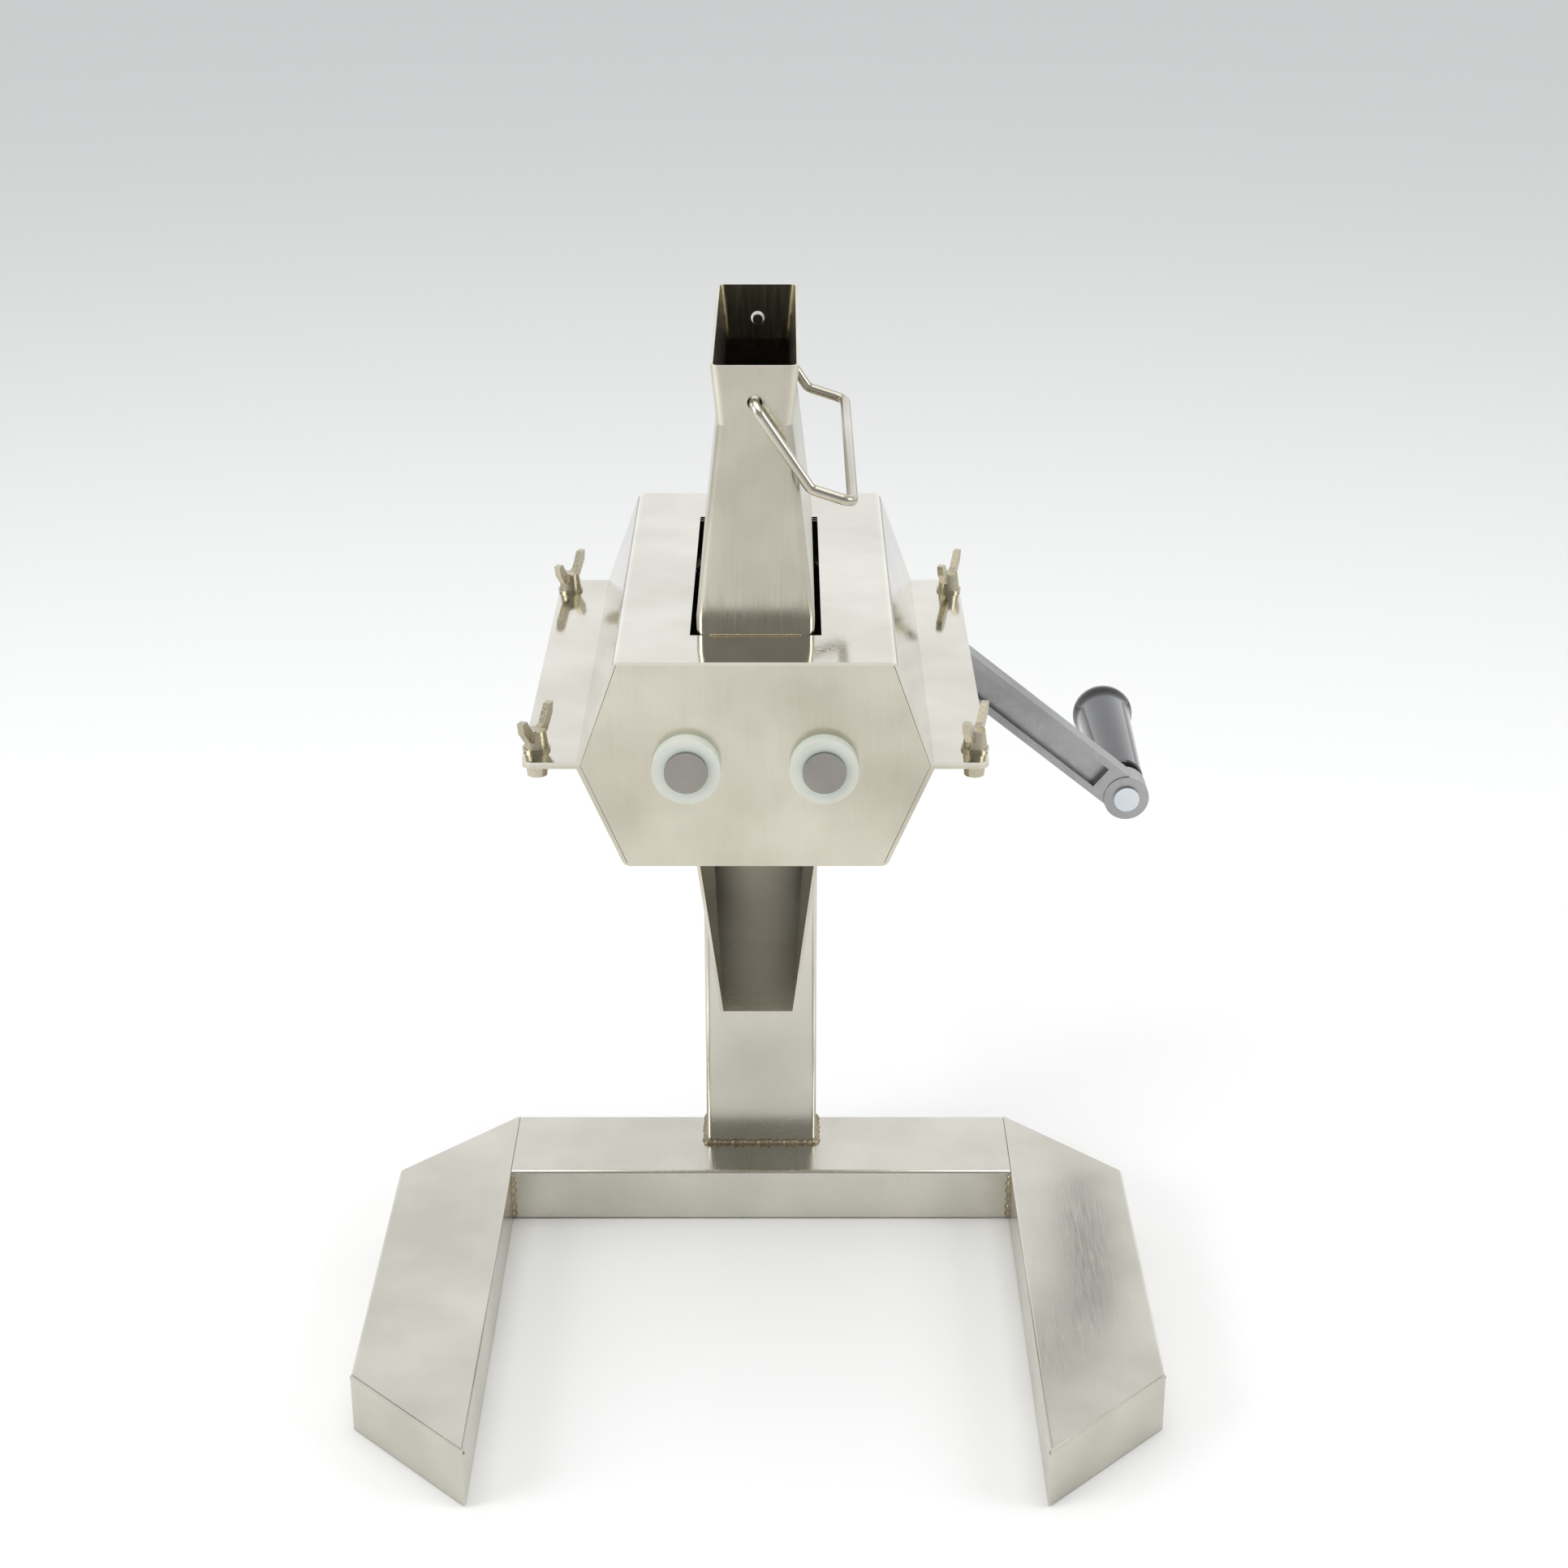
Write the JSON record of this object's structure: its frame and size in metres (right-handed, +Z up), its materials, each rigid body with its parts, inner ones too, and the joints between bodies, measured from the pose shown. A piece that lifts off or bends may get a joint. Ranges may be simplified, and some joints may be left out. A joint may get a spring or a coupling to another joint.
{
  "type": "meat tenderizer",
  "caption": "Hand-cranked meat tenderizer: split steel housing with two meshing bladed rollers and combs on a U-foot column stand, with feed chute and crank.",
  "frame": {"origin": "on the table, under the centre of the column", "axes": "+Z up, +Y to the rear where the crank is, +X to the right seen from the front"},
  "size_m": [0.4149, 0.5018, 0.514],
  "materials": {
    "steel": "satin to mirror-polished stainless sheet",
    "blade": "stamped stainless blades",
    "wire": "drawn stainless wire",
    "gear_nylon": "cast nylon, cream",
    "bush_nylon": "moulded nylon, translucent white",
    "aluminium": "sand-cast, tumbled",
    "zinc": "bright zinc plate",
    "fastener": "nickel-plated steel",
    "grip": "moulded, glossy black"
  },
  "bodies": {
    "bail": {"bail_handle": "wire"},
    "stand": {"base_crossbar": "steel", "base_leg_left": "steel", "base_leg_right": "steel", "column": "steel", "comb_rods_left": "wire", "comb_rods_right": "wire", "comb_wires_left": "wire", "comb_wires_right": "wire", "leg_end_plate_left": "steel", "leg_end_plate_right": "steel", "outlet_chute": "steel", "tray_front_collars": "steel", "tray_front_plate": "steel", "tray_partition": "steel", "tray_partition_collars": "steel", "tray_rear_plate": "steel", "tray_shell": "steel", "weld_nuts": "fastener"},
    "cover": {"bolt_washers": "fastener", "cover_front_collars": "steel", "cover_front_plate": "steel", "cover_partition": "steel", "cover_partition_collars": "steel", "cover_rear_plate": "steel", "cover_shell": "steel", "feed_chute": "steel"},
    "drive_roller": {"crank_arm": "aluminium", "drive_blades": "blade", "drive_collar_bush": "bush_nylon", "drive_end_washer": "steel", "drive_flanged_bush": "bush_nylon", "drive_front_bush": "bush_nylon", "drive_gear": "gear_nylon", "drive_shaft": "steel", "drive_spacer_tube": "steel", "drive_spacers": "steel", "grip_nut": "zinc", "grip_stud": "zinc"},
    "crank_screw": {"crank_wing_screw": "fastener"},
    "grip": {"grip": "grip"},
    "idler_roller": {"idler_blades": "blade", "idler_end_washer": "steel", "idler_flanged_bush": "bush_nylon", "idler_front_bush": "bush_nylon", "idler_gear": "gear_nylon", "idler_shaft": "steel", "idler_spacers": "steel"},
    "wing_bolt_1": {"wing_bolt_1": "fastener"},
    "wing_bolt_2": {"wing_bolt_2": "fastener"},
    "wing_bolt_3": {"wing_bolt_3": "fastener"},
    "wing_bolt_4": {"wing_bolt_4": "fastener"}
  },
  "joints": [
    {"name": "cover_lift", "type": "slide", "parent": "stand", "child": "cover", "axis": [0, 0, 1], "range_m": [0, 0.16]},
    {"name": "drive_spin", "type": "hinge", "parent": "stand", "child": "drive_roller", "pos_m": [0.03, 0, 0.345], "axis": [0, 1, 0], "continuous": true},
    {"name": "idler_spin", "type": "hinge", "parent": "stand", "child": "idler_roller", "pos_m": [-0.03, 0, 0.345], "axis": [0, 1, 0], "continuous": true},
    {"name": "grip_spin", "type": "hinge", "parent": "drive_roller", "child": "grip", "pos_m": [0.20236, 0.1, 0.20037], "axis": [0, 1, 0], "continuous": true},
    {"name": "crank_screw_turn", "type": "hinge", "parent": "drive_roller", "child": "crank_screw", "pos_m": [0.03, 0.042, 0.345], "axis": [0.6428, 0, 0.766], "range_deg": [0, 360]},
    {"name": "bail_swing", "type": "hinge", "parent": "cover", "child": "bail", "pos_m": [0, -0.12, 0.498], "axis": [0, -1, 0], "range_deg": [0, 265]},
    {"name": "wing_bolt_1_turn", "type": "hinge", "parent": "cover", "child": "wing_bolt_1", "pos_m": [-0.0965, -0.215, 0.3477], "axis": [0, 0, 1], "range_deg": [0, 360]},
    {"name": "wing_bolt_2_turn", "type": "hinge", "parent": "cover", "child": "wing_bolt_2", "pos_m": [0.0965, -0.215, 0.3477], "axis": [0, 0, 1], "range_deg": [0, 360]},
    {"name": "wing_bolt_3_turn", "type": "hinge", "parent": "cover", "child": "wing_bolt_3", "pos_m": [-0.0965, -0.001, 0.3477], "axis": [0, 0, 1], "range_deg": [0, 360]},
    {"name": "wing_bolt_4_turn", "type": "hinge", "parent": "cover", "child": "wing_bolt_4", "pos_m": [0.0965, -0.001, 0.3477], "axis": [0, 0, 1], "range_deg": [0, 360]}
  ],
  "couplings": [
    {"joint": "idler_spin", "follows": "drive_spin", "ratio": -1}
  ]
}
